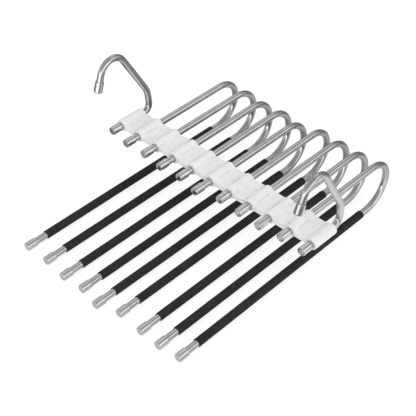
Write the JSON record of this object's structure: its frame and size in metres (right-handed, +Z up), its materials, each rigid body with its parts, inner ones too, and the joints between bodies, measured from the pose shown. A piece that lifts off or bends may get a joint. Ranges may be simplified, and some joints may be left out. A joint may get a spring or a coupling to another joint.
{
  "type": "trouser rack",
  "caption": "Folding trouser rack: hairpin rods with grip sleeves pinned in a concertina strip of plastic links, with a rail hook at each end.",
  "frame": {"origin": "on the floor under the middle of the whole rack; the middle of the strip lies at Y = 16.1 mm", "axes": "+X along the strip, +Y along the rods towards their bends (open ends at -Y), +Z up"},
  "size_m": [0.3152, 0.3664, 0.1741],
  "materials": {
    "tube": "polished stainless tube with faint lengthwise drawing marks",
    "cap": "satin stainless deep-drawn cap",
    "grip": "matt black soft foam grip",
    "strip": "milky white translucent moulded plastic"
  },
  "bodies": {
    "rod_4": {"trouser_rod_4": "tube", "grip_sleeve_4": "grip", "arm_tip_cap_4": "cap", "pin_cap_4": "cap"},
    "rod_1": {"trouser_rod_1": "tube", "grip_sleeve_1": "grip", "arm_tip_cap_1": "cap", "pin_cap_1": "cap"},
    "rod_2": {"trouser_rod_2": "tube", "grip_sleeve_2": "grip", "arm_tip_cap_2": "cap", "pin_cap_2": "cap"},
    "rod_3": {"trouser_rod_3": "tube", "grip_sleeve_3": "grip", "arm_tip_cap_3": "cap", "pin_cap_3": "cap"},
    "rod_5": {"trouser_rod_5": "tube", "grip_sleeve_5": "grip", "arm_tip_cap_5": "cap", "pin_cap_5": "cap"},
    "rod_6": {"trouser_rod_6": "tube", "grip_sleeve_6": "grip", "arm_tip_cap_6": "cap", "pin_cap_6": "cap"},
    "rod_7": {"trouser_rod_7": "tube", "grip_sleeve_7": "grip", "arm_tip_cap_7": "cap", "pin_cap_7": "cap"},
    "rod_8": {"trouser_rod_8": "tube", "grip_sleeve_8": "grip", "arm_tip_cap_8": "cap", "pin_cap_8": "cap"},
    "rod_9": {"trouser_rod_9": "tube", "grip_sleeve_9": "grip", "arm_tip_cap_9": "cap", "pin_cap_9": "cap"},
    "link_1": {"strip_link_1": "strip"},
    "link_2": {"strip_link_2": "strip"},
    "link_3": {"strip_link_3": "strip"},
    "link_4": {"strip_link_4": "strip"},
    "link_5": {"strip_link_5": "strip"},
    "link_6": {"strip_link_6": "strip"},
    "link_7": {"strip_link_7": "strip"},
    "link_8": {"strip_link_8": "strip"},
    "link_9": {"strip_link_9": "strip"},
    "link_10": {"strip_link_10": "strip"},
    "hook_left": {"hook_left": "tube", "hook_tip_cap_left": "cap", "hook_pin_cap_left": "cap"},
    "hook_right": {"hook_right": "tube", "hook_tip_cap_right": "cap", "hook_pin_cap_right": "cap"}
  },
  "joints": [
    {"name": "strip_fold", "type": "hinge", "parent": "rod_4", "child": "link_5", "pos_m": [-0.03, 0.01614, 0.0722], "axis": [0, -1, 0], "range_deg": [0, 60]},
    {"name": "link_4_turn", "type": "hinge", "parent": "rod_4", "child": "link_4", "pos_m": [-0.03, 0.01614, 0.0722], "axis": [0, 1, 0], "range_deg": [0, 60]},
    {"name": "link_6_turn", "type": "hinge", "parent": "link_5", "child": "link_6", "pos_m": [0, 0.01614, 0.0722], "axis": [0, 1, 0], "range_deg": [0, 120]},
    {"name": "link_7_turn", "type": "hinge", "parent": "link_6", "child": "link_7", "pos_m": [0.03, 0.01614, 0.0722], "axis": [0, -1, 0], "range_deg": [0, 120]},
    {"name": "link_8_turn", "type": "hinge", "parent": "link_7", "child": "link_8", "pos_m": [0.06, 0.01614, 0.0722], "axis": [0, 1, 0], "range_deg": [0, 120]},
    {"name": "link_9_turn", "type": "hinge", "parent": "link_8", "child": "link_9", "pos_m": [0.09, 0.01614, 0.0722], "axis": [0, -1, 0], "range_deg": [0, 120]},
    {"name": "link_10_turn", "type": "hinge", "parent": "link_9", "child": "link_10", "pos_m": [0.12, 0.01614, 0.0722], "axis": [0, 1, 0], "range_deg": [0, 120]},
    {"name": "link_3_turn", "type": "hinge", "parent": "link_4", "child": "link_3", "pos_m": [-0.06, 0.01614, 0.0722], "axis": [0, -1, 0], "range_deg": [0, 120]},
    {"name": "link_2_turn", "type": "hinge", "parent": "link_3", "child": "link_2", "pos_m": [-0.09, 0.01614, 0.0722], "axis": [0, 1, 0], "range_deg": [0, 120]},
    {"name": "link_1_turn", "type": "hinge", "parent": "link_2", "child": "link_1", "pos_m": [-0.12, 0.01614, 0.0722], "axis": [0, -1, 0], "range_deg": [0, 120]},
    {"name": "rod_5_turn", "type": "hinge", "parent": "link_5", "child": "rod_5", "pos_m": [0, 0.01614, 0.0722], "axis": [0, 1, 0], "range_deg": [0, 60]},
    {"name": "rod_6_turn", "type": "hinge", "parent": "link_6", "child": "rod_6", "pos_m": [0.03, 0.01614, 0.0722], "axis": [0, -1, 0], "range_deg": [0, 60]},
    {"name": "rod_7_turn", "type": "hinge", "parent": "link_7", "child": "rod_7", "pos_m": [0.06, 0.01614, 0.0722], "axis": [0, 1, 0], "range_deg": [0, 60]},
    {"name": "rod_8_turn", "type": "hinge", "parent": "link_8", "child": "rod_8", "pos_m": [0.09, 0.01614, 0.0722], "axis": [0, -1, 0], "range_deg": [0, 60]},
    {"name": "rod_9_turn", "type": "hinge", "parent": "link_9", "child": "rod_9", "pos_m": [0.12, 0.01614, 0.0722], "axis": [0, 1, 0], "range_deg": [0, 60]},
    {"name": "rod_3_turn", "type": "hinge", "parent": "link_4", "child": "rod_3", "pos_m": [-0.06, 0.01614, 0.0722], "axis": [0, -1, 0], "range_deg": [0, 60]},
    {"name": "rod_2_turn", "type": "hinge", "parent": "link_3", "child": "rod_2", "pos_m": [-0.09, 0.01614, 0.0722], "axis": [0, 1, 0], "range_deg": [0, 60]},
    {"name": "rod_1_turn", "type": "hinge", "parent": "link_2", "child": "rod_1", "pos_m": [-0.12, 0.01614, 0.0722], "axis": [0, -1, 0], "range_deg": [0, 60]},
    {"name": "hook_left_swing", "type": "hinge", "parent": "link_1", "child": "hook_left", "pos_m": [-0.15, 0.01614, 0.0722], "axis": [0, -1, 0], "range_deg": [-60, 88]},
    {"name": "hook_right_swing", "type": "hinge", "parent": "link_10", "child": "hook_right", "pos_m": [0.15, 0.01614, 0.0722], "axis": [0, 1, 0], "range_deg": [-60, 88]}
  ],
  "couplings": [
    {"joint": "link_4_turn", "follows": "strip_fold", "ratio": 1},
    {"joint": "link_6_turn", "follows": "strip_fold", "ratio": 2},
    {"joint": "link_7_turn", "follows": "strip_fold", "ratio": 2},
    {"joint": "link_8_turn", "follows": "strip_fold", "ratio": 2},
    {"joint": "link_9_turn", "follows": "strip_fold", "ratio": 2},
    {"joint": "link_10_turn", "follows": "strip_fold", "ratio": 2},
    {"joint": "link_3_turn", "follows": "strip_fold", "ratio": 2},
    {"joint": "link_2_turn", "follows": "strip_fold", "ratio": 2},
    {"joint": "link_1_turn", "follows": "strip_fold", "ratio": 2},
    {"joint": "rod_5_turn", "follows": "strip_fold", "ratio": 1},
    {"joint": "rod_6_turn", "follows": "strip_fold", "ratio": 1},
    {"joint": "rod_7_turn", "follows": "strip_fold", "ratio": 1},
    {"joint": "rod_8_turn", "follows": "strip_fold", "ratio": 1},
    {"joint": "rod_9_turn", "follows": "strip_fold", "ratio": 1},
    {"joint": "rod_3_turn", "follows": "strip_fold", "ratio": 1},
    {"joint": "rod_2_turn", "follows": "strip_fold", "ratio": 1},
    {"joint": "rod_1_turn", "follows": "strip_fold", "ratio": 1}
  ]
}
